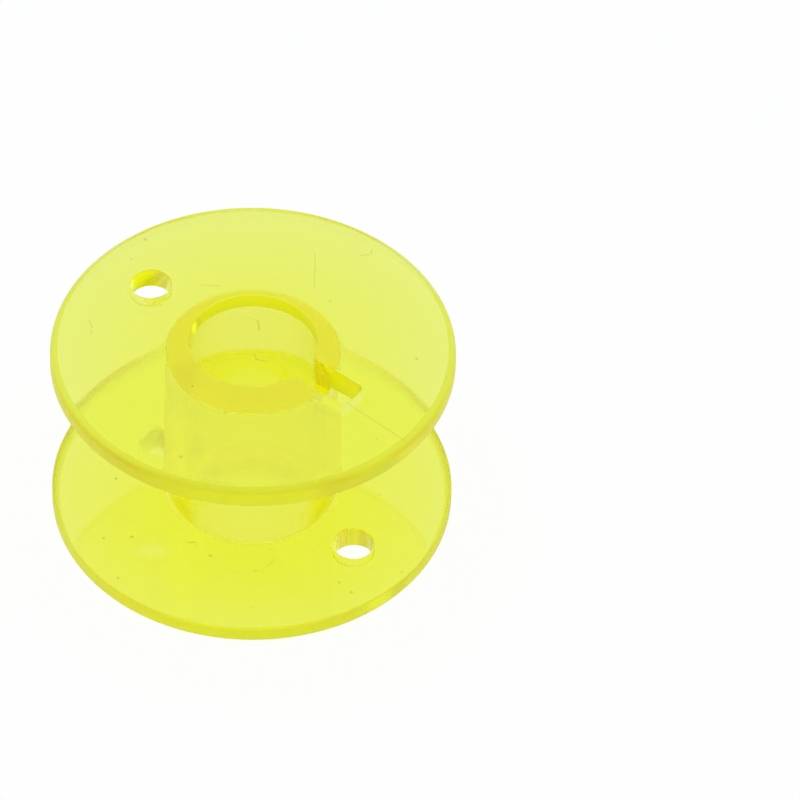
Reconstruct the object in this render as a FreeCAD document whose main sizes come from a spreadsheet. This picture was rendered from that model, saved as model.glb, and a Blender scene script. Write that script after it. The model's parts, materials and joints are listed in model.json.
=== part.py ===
"""Plastic sewing machine bobbin: two crowned flanges on a hollow hub, moulded in one piece.

The bobbin stands on its lower hub end. Its axis is +Z, and the origin is the middle of that end.
The drive slots lie on the X axis, the upper flange's towards +X and the lower one's towards -X. Each
flange has its thread eye on the other side of the bore, a little off the line of the slots.
"""
import FreeCAD, Part
import os
import Sketcher

# Driving sizes in millimetres, and one in degrees, each with a note on what it measures.
SIZES = [
    ("height", 11.7, "hub end to hub end"),
    ("flange_dia", 20.3, "outside of both flanges"),
    ("rim_thick", 1.0, "flange thickness at the rim"),
    ("crown", 0.43, "rise of a flange's outer face from the rim to the hub end"),
    ("rim_round", 0.4, "rounding of the rim's outer edge"),
    ("hub_dia", 8.5, "outside of the hub that the thread winds on"),
    ("hub_round", 0.15, "fillet where the hub meets a flange"),
    ("bore_dia", 6.4, "hole for the winder's spindle"),
    ("land_wide", 0.8, "flat ring at the hub end, from the bore outwards"),
    ("slot_wide", 1.6, "drive slot, side to side"),
    ("slot_reach", 6.25, "axis to the drive slot's outer end"),
    ("slot_deep", 1.7, "hub end to the drive slot's floor"),
    ("slot_round", 0.25, "corners of the drive slot's outer end"),
    ("mouth_round", 0.4, "corners where the drive slot's sides meet the bore"),
    ("eye_dia", 2.06, "hole that the thread's end goes through"),
    ("eye_reach", 6.62, "axis to the middle of the thread eye"),
    ("eye_turn", 2.6, "degrees between the line of the slots and the line of the eyes"),
]

doc = FreeCAD.newDocument("bobbin")
sheet = doc.addObject("Spreadsheet::Sheet", "sizes")
for row, (name, value, note) in enumerate(SIZES, start=1):
    sheet.set(f"A{row}", name)
    sheet.set(f"B{row}", str(value))
    sheet.set(f"C{row}", note)
    sheet.setAlias(f"B{row}", name)
doc.recompute()

# The body is drawn about its middle height, which is lifted so that the lower hub end lies at zero.
body = doc.addObject("PartDesign::Body", "bobbin")
body.Label = "bobbin"
body.setExpression("Placement.Base.z", "sizes.height / 2")

# Sketcher's numbers for the sketch's origin and X axis, and for the points of a piece of geometry.
ORIGIN = -1
X_AXIS = -1
START, END, CENTRE = 1, 2, 3


def origin_item(role):
    """The body's own plane or axis with this role."""
    return next(item for item in body.Origin.OriginFeatures if item.Role == role)


def new_sketch(name, plane):
    """A sketch on one of the body's own planes."""
    sketch = body.newObject("Sketcher::SketchObject", name)
    sketch.AttachmentSupport = (origin_item(plane), [""])
    sketch.MapMode = "FlatFace"
    return sketch


def top_sketch(name):
    """A sketch level with the upper hub end, seen from above."""
    sketch = new_sketch(name, "XY_Plane")
    sketch.setExpression("AttachmentOffset.Base.z", "sizes.height / 2")
    return sketch


def relate(sketch, *constraint):
    """Adds a constraint and gives its number."""
    return sketch.addConstraint(Sketcher.Constraint(*constraint))


def measure(sketch, name, formula, *constraint):
    """Adds a named constraint whose value follows a formula of the sheet."""
    sketch.renameConstraint(relate(sketch, *constraint), name)
    sketch.setExpression(f"Constraints.{name}", formula)


def spot(x, y):
    """A point of a sketch."""
    return FreeCAD.Vector(x, y, 0)


def draw(sketch, corners):
    """Draws a closed outline of straight lines, one from each corner to the next."""
    count = len(corners)
    for line in range(count):
        sketch.addGeometry(Part.LineSegment(corners[line], corners[(line + 1) % count]))
    for line in range(count):
        relate(sketch, "Coincident", line, END, (line + 1) % count, START)


def ease(sketch, name, line, size):
    """Rounds the corner at a line's end to a size of the sheet, and keeps the corner's measures."""
    sketch.fillet(line, END, sheet.get(size), True, True)
    arcs = [number for number, item in enumerate(sketch.Geometry) if isinstance(item, Part.ArcOfCircle)]
    measure(sketch, name, f"sizes.{size}", "Radius", arcs[-1], sheet.get(size))


# Lower half of the spool: its section from the bore to the rim, up to the middle height.
half = sheet.height / 2
bore = sheet.bore_dia / 2
land = bore + sheet.land_wide
rim = sheet.flange_dia / 2
hub = sheet.hub_dia / 2
rim_level = half - sheet.crown
inner_level = rim_level - sheet.rim_thick
outline = [
    spot(bore, -half),
    spot(land, -half),
    spot(rim, -rim_level),
    spot(rim, -inner_level),
    spot(hub, -inner_level),
    spot(hub, 0),
    spot(bore, 0),
]
LAND, FACE, RIM, INNER, HUB, MIDDLE, BORE = range(len(outline))

section = new_sketch("section", "XZ_Plane")
draw(section, outline)
for line in (LAND, INNER):
    relate(section, "Horizontal", line)
for line in (RIM, HUB, BORE):
    relate(section, "Vertical", line)
for line in (MIDDLE, BORE):
    relate(section, "PointOnObject", line, START, X_AXIS)
measure(section, "bore_radius", "sizes.bore_dia / 2", "DistanceX", ORIGIN, START, LAND, START, bore)
measure(section, "land_width", "sizes.land_wide", "DistanceX", LAND, START, LAND, END, land - bore)
measure(section, "rim_radius", "sizes.flange_dia / 2", "DistanceX", ORIGIN, START, RIM, START, rim)
measure(section, "hub_radius", "sizes.hub_dia / 2", "DistanceX", ORIGIN, START, HUB, START, hub)
measure(section, "half_height", "sizes.height / 2", "DistanceY", LAND, START, ORIGIN, START, half)
measure(section, "crown_rise", "sizes.crown", "DistanceY", FACE, START, FACE, END, half - rim_level)
measure(section, "rim_edge", "sizes.rim_thick", "DistanceY", RIM, START, RIM, END, rim_level - inner_level)

ease(section, "rim_rounding", FACE, "rim_round")
ease(section, "hub_fillet", INNER, "hub_round")

lower_half = body.newObject("PartDesign::Revolution", "lower_half")
lower_half.Profile = section
lower_half.ReferenceAxis = (section, ["V_Axis"])
lower_half.Angle = 360
doc.recompute()

# The upper half is its mirror image.
spool = body.newObject("PartDesign::Mirrored", "spool")
spool.Originals = [lower_half]
spool.MirrorPlane = (origin_item("XY_Plane"), [""])
body.Tip = spool
doc.recompute()

# Thread eye: a plain round hole through the upper flange, across the bore from the drive slot. It is
# drawn at the middle height, so that the lower flange's eye is this one turned over about the sketch.
eye_outline = new_sketch("eye_outline", "XY_Plane")
eye_outline.setExpression("AttachmentOffset.Rotation.Angle", "-sizes.eye_turn")
up = FreeCAD.Vector(0, 0, 1)
eye_outline.addGeometry(Part.Circle(spot(-sheet.eye_reach, 0), up, sheet.eye_dia / 2))
relate(eye_outline, "PointOnObject", 0, CENTRE, X_AXIS)
measure(eye_outline, "eye_radius", "sizes.eye_dia / 2", "Radius", 0, sheet.eye_dia / 2)
measure(eye_outline, "eye_place", "sizes.eye_reach", "DistanceX", 0, CENTRE, ORIGIN, START, sheet.eye_reach)

eye = body.newObject("PartDesign::Pocket", "eye")
eye.Profile = eye_outline
eye.Reversed = True
eye.setExpression("Length", "sizes.height / 2")
doc.recompute()

both_eyes = body.newObject("PartDesign::PolarPattern", "both_eyes")
both_eyes.Originals = [eye]
both_eyes.Axis = (eye_outline, ["V_Axis"])
both_eyes.Angle = 360
both_eyes.Occurrences = 2
body.Tip = both_eyes
doc.recompute()

# Drive slot: from the bore outwards through the upper flange, with its floor in the hub's wall.
side = sheet.slot_wide / 2
reach = sheet.slot_reach
corners = [spot(0, side), spot(0, -side), spot(reach, -side), spot(reach, side)]
BACK, LOW, TIP, HIGH = range(len(corners))

slot_outline = top_sketch("slot_outline")
draw(slot_outline, corners)
for line in (BACK, TIP):
    relate(slot_outline, "Vertical", line)
for line in (LOW, HIGH):
    relate(slot_outline, "Horizontal", line)
relate(slot_outline, "Symmetric", BACK, START, BACK, END, ORIGIN, START)
measure(slot_outline, "slot_width", "sizes.slot_wide", "DistanceY", BACK, END, BACK, START, 2 * side)
measure(slot_outline, "slot_end", "sizes.slot_reach", "DistanceX", ORIGIN, START, TIP, START, reach)
ease(slot_outline, "low_corner", LOW, "slot_round")
ease(slot_outline, "high_corner", TIP, "slot_round")

slot = body.newObject("PartDesign::Pocket", "slot")
slot.Profile = slot_outline
slot.setExpression("Length", "sizes.slot_deep")
doc.recompute()

# The lower flange has the same slot, turned over about the Y axis.
both_slots = body.newObject("PartDesign::PolarPattern", "both_slots")
both_slots.Originals = [slot]
both_slots.Axis = (origin_item("Y_Axis"), [""])
both_slots.Angle = 360
both_slots.Occurrences = 2
body.Tip = both_slots
doc.recompute()

# The corners where a slot's sides meet the bore are rounded, so that the drive spring slips in.
TINY = 1e-5


def at_mouth(edge):
    """Whether an edge is one of the upright corners between a slot's side and the bore."""
    ends = [corner.Point for corner in edge.Vertexes]
    on_bore = all(abs(FreeCAD.Vector(end.x, end.y, 0).Length - bore) < TINY for end in ends)
    on_side = all(abs(abs(end.y) - side) < TINY for end in ends)
    return on_bore and on_side and isinstance(edge.Curve, Part.Line)


corners = enumerate(both_slots.Shape.Edges, start=1)
mouth_edges = [f"Edge{number}" for number, edge in corners if at_mouth(edge)]
slot_mouths = body.newObject("PartDesign::Fillet", "slot_mouths")
slot_mouths.Base = (both_slots, mouth_edges)
slot_mouths.setExpression("Radius", "sizes.mouth_round")
body.Tip = slot_mouths
doc.recompute()

failed = [item.Name for item in doc.Objects if {"Invalid", "Error"} & set(item.State)]
if failed:
    raise RuntimeError(f"features failed: {failed}")
cuts = [item.Shape.Volume for item in (spool, eye, both_eyes, slot, both_slots, slot_mouths)]
if any(after >= before for before, after in zip(cuts, cuts[1:])):
    raise RuntimeError(f"a cut removed nothing: {cuts}")
if body.Shape.isNull() or not body.Shape.isValid():
    raise RuntimeError("the bobbin's shape is not valid")

os.makedirs("parts", exist_ok=True)
body.Shape.exportStep(f"parts/{body.Label}.step")
print(f"{body.Label}: volume {body.Shape.Volume:.1f} mm3")
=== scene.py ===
"""A clear plastic sewing machine bobbin on white paper, in metres, in the frame of its solid model."""
import bmesh
import bpy
import json
import math
import random
from mathutils import Matrix, Vector


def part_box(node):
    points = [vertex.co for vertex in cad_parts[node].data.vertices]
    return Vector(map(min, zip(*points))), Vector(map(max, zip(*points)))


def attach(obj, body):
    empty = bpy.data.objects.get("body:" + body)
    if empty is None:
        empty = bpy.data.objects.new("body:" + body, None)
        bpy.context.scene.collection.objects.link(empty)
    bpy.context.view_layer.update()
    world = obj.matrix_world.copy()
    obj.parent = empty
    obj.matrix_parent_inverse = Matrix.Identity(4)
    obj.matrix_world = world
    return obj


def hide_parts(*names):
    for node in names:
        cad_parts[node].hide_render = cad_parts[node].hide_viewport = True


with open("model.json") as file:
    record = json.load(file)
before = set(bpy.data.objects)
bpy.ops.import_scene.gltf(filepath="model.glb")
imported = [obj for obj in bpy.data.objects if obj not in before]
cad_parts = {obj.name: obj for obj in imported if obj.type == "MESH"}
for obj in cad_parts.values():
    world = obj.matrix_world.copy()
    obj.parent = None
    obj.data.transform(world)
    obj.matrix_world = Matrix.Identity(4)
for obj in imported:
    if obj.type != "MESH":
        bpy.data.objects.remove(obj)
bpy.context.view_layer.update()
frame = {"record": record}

# The bobbin is one moulding of clear lime-yellow plastic: two thin round flanges on a hollow hub.
# Their outer faces rise a little towards the hub, whose flat ends stand on the table, and each
# flange has a drive slot cut from the bore outwards and a thread eye opposite.
MM = 0.001
low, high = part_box("bobbin")
height = high.z - low.z
flange_radius = (high.x - low.x) / 2
bore_radius = frame["record"]["mounts"][0]["dims"]["r_mm"] * MM
land_wide = 0.8 * MM
land_radius = bore_radius + land_wide
rim_thick = 1.0 * MM
crown = 0.43 * MM
rim_round = 0.4 * MM
hub_radius = 4.25 * MM
hub_round = 0.15 * MM
slot_wide = 1.6 * MM
slot_reach = 6.25 * MM
slot_deep = 1.7 * MM
slot_round = 0.25 * MM
mouth_corner = 0.4 * MM
eye_radius = 1.03 * MM
eye_reach = 6.62 * MM
eye_turn = math.radians(2.6)

# Fine roundings of the land's outer edge, of the bore's mouths, and of the holes and the rims' inner edges.
edge_round = 0.04 * MM
mouth_round = 0.12 * MM
lip_round = 0.1 * MM

# How finely the mesh follows the form, and the angle from which an edge is shaded sharp.
face_step = 0.35 * MM
slot_step = face_step / 2
TURN_STEPS = 288
ROUND_STEPS = 9
LIP_STEPS = 8
EYE_STEPS = 96
LIP_SWEEP = math.radians(75)
SHARP_ANGLE = math.radians(12)


def rounded(corners, radii):
    """A closed outline with each corner replaced by an arc of its radius."""
    points = []
    for number, corner in enumerate(corners):
        before = (corners[number - 1] - corner).normalized()
        after = (corners[(number + 1) % len(corners)] - corner).normalized()
        half_angle = before.angle(after) / 2
        radius = radii[number]
        centre = corner + (before + after).normalized() * radius / math.sin(half_angle)
        start = corner + before * radius / math.tan(half_angle) - centre
        sweep = start.angle_signed(corner + after * radius / math.tan(half_angle) - centre)
        for step in range(ROUND_STEPS + 1):
            points.append(centre + Matrix.Rotation(-sweep * step / ROUND_STEPS, 2) @ start)
    return points


def divided(outline):
    """The outline with its long straight runs divided into short ones."""
    points = []
    for begin, finish in zip(outline, outline[1:] + outline[:1]):
        count = max(1, round((finish - begin).length / face_step))
        points += [begin.lerp(finish, step / count) for step in range(count)]
    return points


def finished(name, form):
    """The object that a bmesh makes, with its faces turned outwards."""
    bmesh.ops.recalc_face_normals(form, faces=form.faces)
    mesh = bpy.data.meshes.new(name)
    form.to_mesh(mesh)
    form.free()
    piece = bpy.data.objects.new(name, mesh)
    bpy.context.scene.collection.objects.link(piece)
    return piece


def turned(name, outline):
    """A closed ring made by turning an outline of radius and height about the axis."""
    form = bmesh.new()
    rings = []
    for turn in range(TURN_STEPS):
        angle = 2 * math.pi * turn / TURN_STEPS
        c, s = math.cos(angle), math.sin(angle)
        rings.append([form.verts.new((p.x * c, p.x * s, p.y)) for p in outline])
    count = len(outline)
    for ring, following in zip(rings, rings[1:] + rings[:1]):
        for number in range(count):
            other = (number + 1) % count
            form.faces.new((ring[number], following[number], following[other], ring[other]))
    return finished(name, form)


upper_rim = height - crown
inner_low = crown + rim_thick
inner_high = height - inner_low
section = [
    (bore_radius, 0, mouth_round),
    (land_radius, 0, edge_round),
    (flange_radius, crown, rim_round),
    (flange_radius, inner_low, lip_round),
    (hub_radius, inner_low, hub_round),
    (hub_radius, inner_high, hub_round),
    (flange_radius, inner_high, lip_round),
    (flange_radius, upper_rim, rim_round),
    (land_radius, height, edge_round),
    (bore_radius, height, mouth_round),
]
corners = [Vector((radius, level)) for radius, level, rounding in section]
spool_outline = divided(rounded(corners, [rounding for radius, level, rounding in section]))
bobbin_body = turned("bobbin_body", spool_outline)


def lip():
    """Spread and depth of the steps of a hole's rounded edge, from its wall to the face and just beyond."""
    steps = []
    for step in range(LIP_STEPS + 1):
        angle = LIP_SWEEP * step / LIP_STEPS
        steps.append((lip_round * (1 - math.cos(angle)), lip_round * (1 - math.sin(angle))))
    spread, depth = steps[-1]
    beyond = lip_round / 3
    steps.append((spread + (depth + beyond) * math.tan(LIP_SWEEP), -beyond))
    return steps


def outer_level(place):
    """Level of the upper flange's outer face at a place of the plan."""
    fall = max(0, place.length - land_radius) / (flange_radius - land_radius)
    return height - crown * fall


def stacked(name, layers):
    """A closed solid through a stack of rings with equal counts of points."""
    form = bmesh.new()
    rings = [[form.verts.new(point) for point in layer] for layer in layers]
    count = len(rings[0])
    for ring, following in zip(rings, rings[1:]):
        for number in range(count):
            other = (number + 1) % count
            form.faces.new((ring[number], ring[other], following[other]))
            form.faces.new((ring[number], following[other], following[number]))
    form.faces.new(rings[0])
    form.faces.new(rings[-1])
    return finished(name, form)


def cut_tool(name, plan, floor_layers):
    """A tool for a hole through the upper flange, whose plan widens to a rounded edge at the outer face."""
    layers = list(floor_layers)
    for spread, depth in lip():
        layers.append([(p.x, p.y, outer_level(p) - depth) for p in plan(spread)])
    layers.append([(p.x, p.y, height + crown) for p in plan(spread)])
    return stacked(name, layers)


def towards(turn):
    """The direction in the plan at an angle from the X axis."""
    return Vector((math.cos(turn), math.sin(turn)))


eye_middle = Vector((-eye_reach * math.cos(eye_turn), eye_reach * math.sin(eye_turn)))


def eye_plan(spread):
    """The thread eye's outline, widened by a spread."""
    turns = [2 * math.pi * step / EYE_STEPS for step in range(EYE_STEPS)]
    return [eye_middle + (eye_radius + spread) * towards(turn) for turn in turns]


half_slot = slot_wide / 2
corner_x = math.sqrt((bore_radius + mouth_corner) ** 2 - (half_slot + mouth_corner) ** 2)


def slot_plan(spread):
    """The drive slot's outline from inside the bore to its tip, widened by a spread."""
    corner = Vector((corner_x, half_slot + mouth_corner))
    to_axis = math.atan2(-corner.y, -corner.x)
    to_side = -math.pi / 2
    upper = [Vector((bore_radius / 2, half_slot))]
    for step in range(ROUND_STEPS + 1):
        turn = to_axis + (to_side - to_axis) * step / ROUND_STEPS
        upper.append(corner + (mouth_corner - spread) * towards(turn))
    run_end = slot_reach - slot_round
    count = round((run_end - corner_x) / slot_step)
    for step in range(1, count):
        upper.append(Vector((corner_x + (run_end - corner_x) * step / count, half_slot + spread)))
    tip = Vector((run_end, half_slot - slot_round))
    for step in range(ROUND_STEPS + 1):
        turn = math.pi / 2 * (1 - step / ROUND_STEPS)
        upper.append(tip + (slot_round + spread) * towards(turn))
    return upper + [Vector((p.x, -p.y)) for p in reversed(upper)]


# The lower flange's holes are the upper one's, carried through the bobbin's middle point.
through_middle = Matrix.Translation((0, 0, height)) @ Matrix.Scale(-1, 4)
eye_floor = [[(p.x, p.y, inner_high + depth) for p in eye_plan(spread)] for spread, depth in reversed(lip())]
slot_floor = [[(p.x, p.y, height - slot_deep) for p in slot_plan(0)]]
cutters = []
for flange in ("upper", "lower"):
    eye_tool = cut_tool(f"{flange}_eye_tool", eye_plan, eye_floor)
    slot_tool = cut_tool(f"{flange}_slot_tool", slot_plan, slot_floor)
    for tool in (eye_tool, slot_tool):
        if flange == "lower":
            tool.data.transform(through_middle)
            tool.data.flip_normals()
        cut = bobbin_body.modifiers.new(tool.name, "BOOLEAN")
        cut.operation = "DIFFERENCE"
        cut.solver = "EXACT"
        cut.object = tool
        cutters.append(tool)
moulding = bpy.data.meshes.new_from_object(bobbin_body.evaluated_get(bpy.context.evaluated_depsgraph_get()))
bobbin_body.modifiers.clear()
bobbin_body.data = moulding
for tool in cutters:
    bpy.data.objects.remove(tool)
moulding.shade_smooth()
moulding.set_sharp_from_angle(angle=SHARP_ANGLE)

# What each wall is like: its roughness from outside and from inside, its haze and its tint. The darker tints
# of the bore's mouths, the slots' walls and the rims are painted shade.
FINISHES_AND_PAINTED_SHADE = {
    "outer": (0.06, 0.06, 0.0, (0.96, 1.0, 1.0)),
    "base": (0.06, 0.06, 0.0, (0.985, 1.0, 1.0)),
    "inner": (0.06, 0.06, 0.0, (0.96, 1.0, 1.0)),
    "bore": (0.1, 0.04, 1.0, (1.0, 1.0, 1.0)),
    "mouth": (0.3, 0.04, 1.0, (0.84, 0.87, 1.0)),
    "hub": (0.22, 0.04, 0.0, (1.0, 0.98, 1.0)),
    "eye": (0.12, 0.06, 1.0, (0.95, 1.0, 1.0)),
    "slot": (0.15, 0.06, 1.0, (0.84, 0.88, 1.0)),
    "slot_root": (0.06, 0.06, 1.0, (1.0, 1.0, 1.0)),
    "foot": (0.5, 0.3, 1.0, (1.0, 1.0, 1.0)),
    "rim": (0.4, 0.35, 0.0, (0.86, 0.92, 0.15)),
    "rim_clear": (0.1, 0.06, 0.0, (0.9, 0.97, 1.0)),
}
mouth_band = 0.9 * MM
FLAT = 0.99
STEEP = 0.5
TINY = 0.002 * MM


def finish_and_shade_of(face):
    """Which finish and tint a face of the moulding has, from its place and the way it looks."""
    middle = face.center
    from_axis = math.hypot(middle.x, middle.y)
    outwards = (middle.x * face.normal.x + middle.y * face.normal.y) / from_axis
    from_end = min(middle.z, height - middle.z)
    if abs(face.normal.z) > FLAT and from_end > inner_low - TINY:
        return "inner"
    if from_axis > flange_radius - rim_round:
        return "rim"
    beside_hub = hub_radius + TINY < from_axis < hub_radius + hub_round
    if beside_hub and inner_low < from_end < inner_low + hub_round:
        return "foot"
    if abs(face.normal.z) > STEEP:
        if from_end > inner_low - crown / 2:
            return "inner"
        return "outer" if middle.z > height / 2 else "base"
    if outwards < -STEEP and from_axis < bore_radius + mouth_corner / 2:
        return "mouth" if from_end < mouth_band else "bore"
    if outwards > STEEP and from_axis < hub_radius + hub_round:
        return "hub"
    if middle.x * (middle.z - height / 2) < 0:
        return "eye"
    return "slot" if from_axis > hub_radius else "slot_root"


# The rims are rubbed matt on the front, and stay clear at the back; their front's darker, deep yellow tint is
# painted shade.
front_turn = math.radians(34.8)
front = Vector((math.sin(front_turn), -math.cos(front_turn)))
RIM_WEAR_AND_SHADE = 1.6


def blended(first, second, share):
    """A value part of the way from a first one to a second."""
    return first + (second - first) * share


for name in ("wall_finish", "finish_inside", "wall_haze", "outer_face"):
    moulding.attributes.new(name, "FLOAT", "FACE")
moulding.attributes.new("wall_tint", "FLOAT_COLOR", "FACE")
for face in moulding.polygons:
    finish = finish_and_shade_of(face)
    roughness, inside, hazy, tint = FINISHES_AND_PAINTED_SHADE[finish]
    # A rim's front takes the matt wear and also the darker, deep yellow tint, which is painted shade.
    if finish == "rim":
        share = min(1, max(0, RIM_WEAR_AND_SHADE * (1 + front.dot(face.center.xy.normalized()))))
        clear_roughness, clear_inside, clear_haze, clear_tint = FINISHES_AND_PAINTED_SHADE["rim_clear"]
        roughness = blended(clear_roughness, roughness, share)
        inside = blended(clear_inside, inside, share)
        hazy = blended(clear_haze, hazy, share)
        tint = blended(Vector(clear_tint), Vector(tint), share)
    moulding.attributes["wall_finish"].data[face.index].value = roughness
    moulding.attributes["finish_inside"].data[face.index].value = inside
    moulding.attributes["wall_haze"].data[face.index].value = hazy
    moulding.attributes["wall_tint"].data[face.index].color = (*tint, 1)
    moulding.attributes["outer_face"].data[face.index].value = 1 if finish == "outer" else 0

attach(bobbin_body, "root")
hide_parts("bobbin")

# Its plastic is clear and glossy as moulded. The dye takes nearly all of the blue within a
# millimetre or two, so thin walls look pale lime and thick ones golden. Use has left fine
# scratches and specks on it, and a faint haze on the upper face.
PLASTIC_IOR = 1.49
DYE = (0.9993, 0.9966, 0.04, 1)
DYE_DENSITY = 1620
WHITE = (1, 1, 1, 1)
plastic = bpy.data.materials.new("tinted_plastic")
plastic.use_nodes = True
tree = plastic.node_tree
shader = tree.nodes["Principled BSDF"]
surface = tree.nodes["Material Output"]


def feed(owner, socket, value):
    """Gives a socket of a node tree its value, or links it to the output that has it."""
    if isinstance(value, bpy.types.NodeSocket):
        owner.links.new(value, socket)
    else:
        socket.default_value = value


def add_node(owner, kind, inputs, **settings):
    """A new node of a tree with its settings, and its inputs given or linked."""
    node = owner.nodes.new("ShaderNode" + kind)
    for name, setting in settings.items():
        setattr(node, name, setting)
    for socket, value in inputs.items():
        feed(owner, node.inputs[socket], value)
    return node


def worked(owner, kind, operation, *values, out=0):
    """The result of a sum on numbers (Math) or on vectors (VectorMath)."""
    return add_node(owner, kind, dict(enumerate(values)), operation=operation).outputs[out]


def fade(owner, value, start, finish, before, after):
    """A number eased from one before the start to another after the finish."""
    inputs = {"Value": value, "From Min": start, "From Max": finish, "To Min": before, "To Max": after}
    return add_node(owner, "MapRange", inputs, interpolation_type="SMOOTHSTEP").outputs["Result"]


def new_effect(name, sockets):
    """A shader node group with named sockets, and its ends."""
    effect = bpy.data.node_groups.new(name, "ShaderNodeTree")
    for label, way, kind in sockets:
        effect.interface.new_socket(label, in_out=way, socket_type="NodeSocket" + kind)
    return effect, effect.nodes.new("NodeGroupInput").outputs, effect.nodes.new("NodeGroupOutput").inputs


# A hairline is a straight scratch that fades out from its middle line.
hairline, given, result = new_effect("hairline", [
    ("Position", "INPUT", "Vector"), ("Start", "INPUT", "Vector"), ("End", "INPUT", "Vector"),
    ("Width", "INPUT", "Float"), ("Depth", "INPUT", "Float"), ("Mark", "OUTPUT", "Float")])
run = worked(hairline, "VectorMath", "SUBTRACT", given["End"], given["Start"])
away = worked(hairline, "VectorMath", "SUBTRACT", given["Position"], given["Start"])
covered = worked(hairline, "VectorMath", "DOT_PRODUCT", away, run, out="Value")
whole = worked(hairline, "VectorMath", "DOT_PRODUCT", run, run, out="Value")
part_way = worked(hairline, "Math", "DIVIDE", covered, whole)
part_way.node.use_clamp = True
nearest = add_node(hairline, "VectorMath", {0: run, "Scale": part_way}, operation="SCALE").outputs["Vector"]
gap = worked(hairline, "VectorMath", "DISTANCE", away, nearest, out="Value")
feed(hairline, result["Mark"], fade(hairline, gap, 0, given["Width"], given["Depth"], 0))

# A speck is a small round pit or a grain of dust.
speck, given, result = new_effect("speck", [
    ("Position", "INPUT", "Vector"), ("Middle", "INPUT", "Vector"), ("Radius", "INPUT", "Float"),
    ("Depth", "INPUT", "Float"), ("Mark", "OUTPUT", "Float")])
gap = worked(speck, "VectorMath", "DISTANCE", given["Position"], given["Middle"], out="Value")
feed(speck, result["Mark"], fade(speck, gap, 0, given["Radius"], given["Depth"], 0))


def on_upper_face(x, y):
    """A place on the upper flange's outer face, from its plan in millimetres."""
    spot = Vector((x, y)) * MM
    return spot.x, spot.y, outer_level(spot)


def on_lower_flange(x, y):
    """A place on the lower flange's inner face, from its plan in millimetres."""
    return x * MM, y * MM, inner_low


def on_bore(turn, level):
    """A place on the bore's wall, from its direction in degrees and its level in millimetres."""
    spot = bore_radius * towards(math.radians(turn))
    return spot.x, spot.y, level * MM


# The scratches that show, each a string of places with a depth.
SCRATCHES = [
    (on_upper_face, [(-1.3, 7.0), (0.2, 4.9)], 0.4),
    (on_upper_face, [(0.5, 8.3), (0.9, 8.8), (0.7, 9.1)], 0.45),
    (on_upper_face, [(-4.5, 1.6), (-3.6, 2.1)], 0.4),
    (on_upper_face, [(-7.6, -3.6), (-7.1, -3.9)], 0.5),
    (on_lower_flange, [(-0.1, -5.3), (0.2, -5.0)], 0.75),
    (on_lower_flange, [(4.1, -4.3), (4.1, -3.4)], 0.35),
    (on_bore, [(136, 10.2), (122, 9.9), (121, 9.2)], 0.6),
    (on_bore, [(127, 7.8), (123, 7.1), (114, 7.0)], 0.7),
]
SCRATCH_WIDTH = 0.06 * MM

# The knit line, where two flows of the plastic met beyond the slot, runs from its end to the rim.
KNIT_LINE = [(slot_reach / MM, -0.6), (flange_radius / MM, -0.8)]
KNIT_DEPTH = 0.45

# Specks of dust and small pits lie scattered on these faces: how many, and from which radius outwards.
SPECKLED_FACES = [
    (on_upper_face, 14, land_radius),
    (on_lower_flange, 30, hub_radius),
]
SPECK_SIZES = (0.06 * MM, 0.14 * MM)
SPECK_DEPTH = 0.95
speck_reach = flange_radius - rim_round
speck_draw = random.Random(90)

# Scratches and specks waver a little from their straight and round forms.
WAVER = 0.2 * MM
WAVER_SCALE = 1400
WAVER_DETAIL = 2
place = add_node(tree, "TexCoord", {}).outputs["Object"]
noise = add_node(tree, "TexNoise", {"Vector": place, "Scale": WAVER_SCALE, "Detail": WAVER_DETAIL})
drift = worked(tree, "VectorMath", "SUBTRACT", noise.outputs["Color"], (0.5, 0.5, 0.5))
drifted = worked(tree, "VectorMath", "MULTIPLY_ADD", drift, (WAVER, WAVER, WAVER), place)

marks = []


def add_mark(effect, **inputs):
    """Puts a hairline or a speck on the plastic."""
    marks.append(add_node(tree, "Group", inputs, node_tree=effect).outputs["Mark"])


for surface_place, string, depth in SCRATCHES:
    places = [surface_place(*spot) for spot in string]
    for start, end in zip(places, places[1:]):
        add_mark(hairline, Position=drifted, Start=start, End=end, Width=SCRATCH_WIDTH, Depth=depth)
start, end = [on_upper_face(*spot) for spot in KNIT_LINE]
add_mark(hairline, Position=place, Start=start, End=end, Width=SCRATCH_WIDTH, Depth=KNIT_DEPTH)
for surface_place, count, nearest_radius in SPECKLED_FACES:
    for number in range(count):
        turn = speck_draw.uniform(0, 2 * math.pi)
        reach = math.sqrt(speck_draw.uniform(nearest_radius ** 2, speck_reach ** 2)) / MM
        middle = surface_place(*(reach * towards(turn)))
        size = speck_draw.uniform(*SPECK_SIZES)
        add_mark(speck, Position=drifted, Middle=middle, Radius=size, Depth=SPECK_DEPTH)
worn = marks[0]
for mark in marks[1:]:
    worn = worked(tree, "Math", "MAXIMUM", worn, mark)

# The upper face is frosted over the hub's end, a little towards the front, and has a thin haze around
# it. The faint warm tint there is painted light, for the golden light that runs down the hub's wall.
MARK_TINT = (0.25, 0.28, 0.1, 1)
MARK_ROUGHNESS = 0.4
HUB_GLOW_TINT = (1.0, 0.95, 0.95, 1)
FROST = 0.3
HAZE = 0.6
HAZE_ROUGHNESS = 0.5
wear_and_glow_offset = 0.76 * MM
wear_and_glow_middle = (*(front * wear_and_glow_offset), height)
wear_and_glow_edge = hub_radius * 1.04


def wall(name):
    """The outputs of a value that the walls have."""
    return add_node(tree, "Attribute", {}, attribute_name=name).outputs


on_outer_face = wall("outer_face")["Fac"]
from_wear_and_glow = worked(tree, "VectorMath", "DISTANCE", place, wear_and_glow_middle, out="Value")
over_hub = worked(tree, "Math", "MULTIPLY", on_outer_face, fade(tree, from_wear_and_glow, hub_radius, wear_and_glow_edge, 1, 0))
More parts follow.
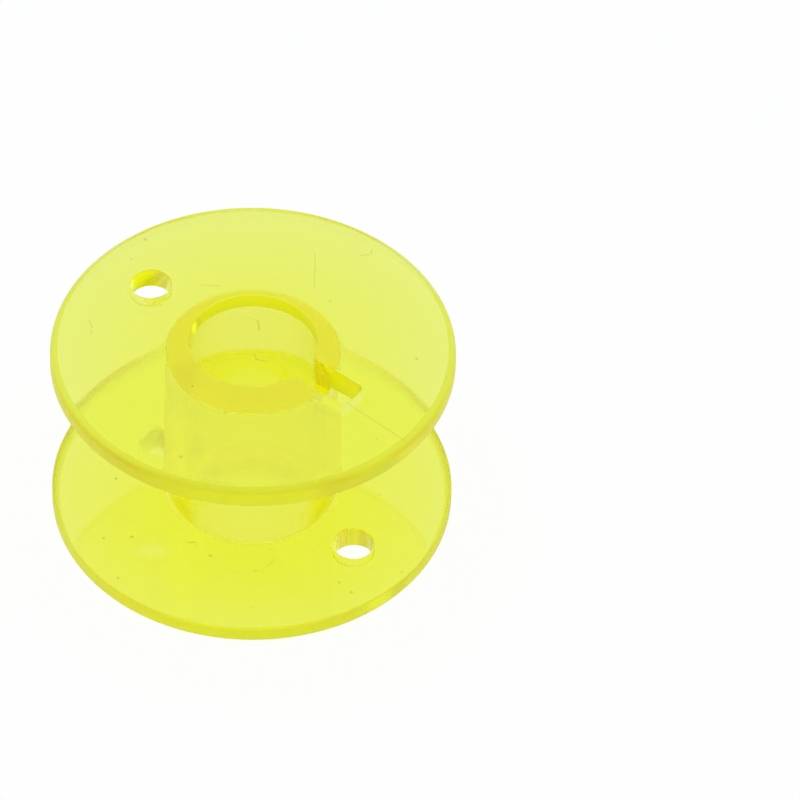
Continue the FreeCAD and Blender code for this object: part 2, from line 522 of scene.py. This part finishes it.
# The warm tint over the hub's end is painted light.
hub_glow_inputs = {"Factor": over_hub, "A": wall("wall_tint")["Color"], "B": HUB_GLOW_TINT}
hub_glow_tint = add_node(tree, "Mix", hub_glow_inputs, data_type="RGBA").outputs["Result"]
mark_inputs = {"Factor": worn, "A": hub_glow_tint, "B": MARK_TINT}
marked_tint = add_node(tree, "Mix", mark_inputs, data_type="RGBA", blend_type="MULTIPLY").outputs["Result"]
feed(tree, shader.inputs["Base Color"], marked_tint)

# Haze only shows from outside, and the walls have a roughness of their own from inside the plastic.
from_inside = add_node(tree, "NewGeometry", {}).outputs["Backfacing"]
from_outside = worked(tree, "Math", "SUBTRACT", 1.0, from_inside)
haze = fade(tree, from_wear_and_glow, hub_radius, wear_and_glow_edge, 0, HAZE)
all_haze = worked(tree, "Math", "MULTIPLY_ADD", haze, on_outer_face, wall("wall_haze")["Fac"])
feed(tree, shader.inputs["Coat Weight"], worked(tree, "Math", "MULTIPLY", all_haze, from_outside))
shader.inputs["Coat Roughness"].default_value = HAZE_ROUGHNESS
frost = fade(tree, from_wear_and_glow, hub_radius, wear_and_glow_edge, FROST, 0)
frosted = worked(tree, "Math", "MULTIPLY_ADD", frost, on_outer_face, wall("wall_finish")["Fac"])
outside = worked(tree, "Math", "MULTIPLY_ADD", worn, MARK_ROUGHNESS, frosted)
sides = {"Factor": from_inside, "A": outside, "B": wall("finish_inside")["Fac"]}
feed(tree, shader.inputs["Roughness"], add_node(tree, "Mix", sides).outputs["Result"])
shader.inputs["IOR"].default_value = PLASTIC_IOR
shader.inputs["Transmission Weight"].default_value = 1.0
dye = add_node(tree, "VolumeAbsorption", {"Color": DYE, "Density": DYE_DENSITY}).outputs["Volume"]
feed(tree, surface.inputs["Volume"], dye)

# The soft light on the paper passes through the plastic, so that its shadow is coloured by the dye.
rays = add_node(tree, "LightPath", {}).outputs
soft_rays = worked(tree, "Math", "MAXIMUM", rays["Is Shadow Ray"], rays["Is Diffuse Ray"])
clear = add_node(tree, "BsdfTransparent", {"Color": WHITE}).outputs["BSDF"]
past_lamps = add_node(tree, "MixShader", {"Fac": soft_rays, 1: shader.outputs["BSDF"], 2: clear})
feed(tree, surface.inputs["Surface"], past_lamps.outputs["Shader"])
bobbin_body.data.materials.clear()
bobbin_body.data.materials.append(plastic)

# The bobbin stands on a wide sheet of white paper, which the picture shows as plain white with the
# bobbin's own faint shadow.
PAPER = (0.82, 0.86, 0.875, 1)
GLOW_SEEN = 0.93
GLOW_THROUGH = 0.68
paper_half = 1.0
paper_gap = 0.02 * MM
paper_form = bmesh.new()
bmesh.ops.create_grid(paper_form, x_segments=1, y_segments=1, size=paper_half)
paper = finished("paper", paper_form)
paper.location.z = -paper_gap
paper_material = bpy.data.materials.new("white_paper")
paper_material.use_nodes = True
paper_tree = paper_material.node_tree
paper_tree.nodes.remove(paper_tree.nodes["Principled BSDF"])
rays = add_node(paper_tree, "LightPath", {}).outputs
matt = add_node(paper_tree, "BsdfDiffuse", {"Color": PAPER}).outputs["BSDF"]
tones = {"Factor": rays["Is Camera Ray"], "A": PAPER, "B": WHITE}
tone = add_node(paper_tree, "Mix", tones, data_type="RGBA").outputs["Result"]
glow = add_node(paper_tree, "Emission", {"Color": tone}).outputs["Emission"]
through = worked(paper_tree, "Math", "MAXIMUM", rays["Is Glossy Ray"], rays["Is Transmission Ray"])
dim = worked(paper_tree, "Math", "MULTIPLY", through, GLOW_THROUGH)
glow_share = worked(paper_tree, "Math", "MULTIPLY_ADD", rays["Is Camera Ray"], GLOW_SEEN, dim)
glow_share.node.use_clamp = True
lit_paper = add_node(paper_tree, "MixShader", {"Fac": glow_share, 1: matt, 2: glow}).outputs["Shader"]
feed(paper_tree, paper_tree.nodes["Material Output"].inputs["Surface"], lit_paper)
paper.data.materials.append(paper_material)

# Soft light comes from all round, as in a tent of white cloth that is a little brighter overhead,
# with one wide round lamp over the left shoulder.
TENT_SIDE = (0.85, 0.87, 0.87, 1)
TENT_TOP = (1.05, 1.07, 1.07, 1)
TENT_STRENGTH = 1.0
LAMP_PLACE = (-0.3, 0.05, 0.35)
LAMP_SIZE = 0.25
LAMP_POWER = 0.1
world = bpy.data.worlds.new("white_tent")
bpy.context.scene.world = world
world.use_nodes = True
tent_tree = world.node_tree
tent = tent_tree.nodes["Background"]
direction = add_node(tent_tree, "TexCoord", {}).outputs["Generated"]
steepness = add_node(tent_tree, "SeparateXYZ", {"Vector": direction}).outputs["Z"]
cloths = {"Factor": steepness, "A": TENT_SIDE, "B": TENT_TOP}
cloth = add_node(tent_tree, "Mix", cloths, data_type="RGBA", clamp_factor=True).outputs["Result"]
feed(tent_tree, tent.inputs["Color"], cloth)
tent.inputs["Strength"].default_value = TENT_STRENGTH
lamp_data = bpy.data.lights.new("soft_box", "AREA")
lamp_data.shape = "DISK"
lamp_data.size = LAMP_SIZE
lamp_data.energy = LAMP_POWER
lamp = bpy.data.objects.new("soft_box", lamp_data)
lamp.location = LAMP_PLACE
lamp.rotation_euler = (-lamp.location).to_track_quat("-Z", "Y").to_euler()
bpy.context.scene.collection.objects.link(lamp)

# The camera looks down at the bobbin from the front with a long lens, so that the two flanges show
# with hardly any perspective, and leaves the bobbin left of the picture's middle.
view_azimuth = front_turn
view_elevation = math.radians(45.44)
view_roll = math.radians(-1.57)
view_distance = 407.3 * MM
aim_right = 7.543 * MM
aim_up = 4.918 * MM
LENS_OVER_FRAME = 10.0
FILM_WIDTH = 36
NEAR_LIMIT = 0.01

turned_frame = Matrix.Rotation(view_azimuth, 3, "Z")
forward = turned_frame @ Vector((0, math.cos(view_elevation), -math.sin(view_elevation)))
level = turned_frame @ Vector((1, 0, 0))
down = forward.cross(level)
right = level * math.cos(view_roll) + down * math.sin(view_roll)
up = level * math.sin(view_roll) - down * math.cos(view_roll)
aim = Vector((0, 0, crown)) + right * aim_right + up * aim_up
camera_data = bpy.data.cameras.new("camera")
camera_data.sensor_width = FILM_WIDTH
camera_data.lens = FILM_WIDTH * LENS_OVER_FRAME
camera_data.clip_start = NEAR_LIMIT
camera = bpy.data.objects.new("camera", camera_data)
camera.matrix_world = (Matrix.Translation(aim - forward * view_distance)
                       @ Matrix((right, up, -forward)).transposed().to_4x4())
bpy.context.scene.collection.objects.link(camera)
bpy.context.scene.camera = camera
bpy.context.scene.view_settings.view_transform = "Standard"

# Light crosses many walls of the plastic before it leaves.
BOUNCES = 64
bpy.context.scene.cycles.max_bounces = BOUNCES
bpy.context.scene.cycles.transmission_bounces = BOUNCES
bpy.context.scene.cycles.glossy_bounces = BOUNCES
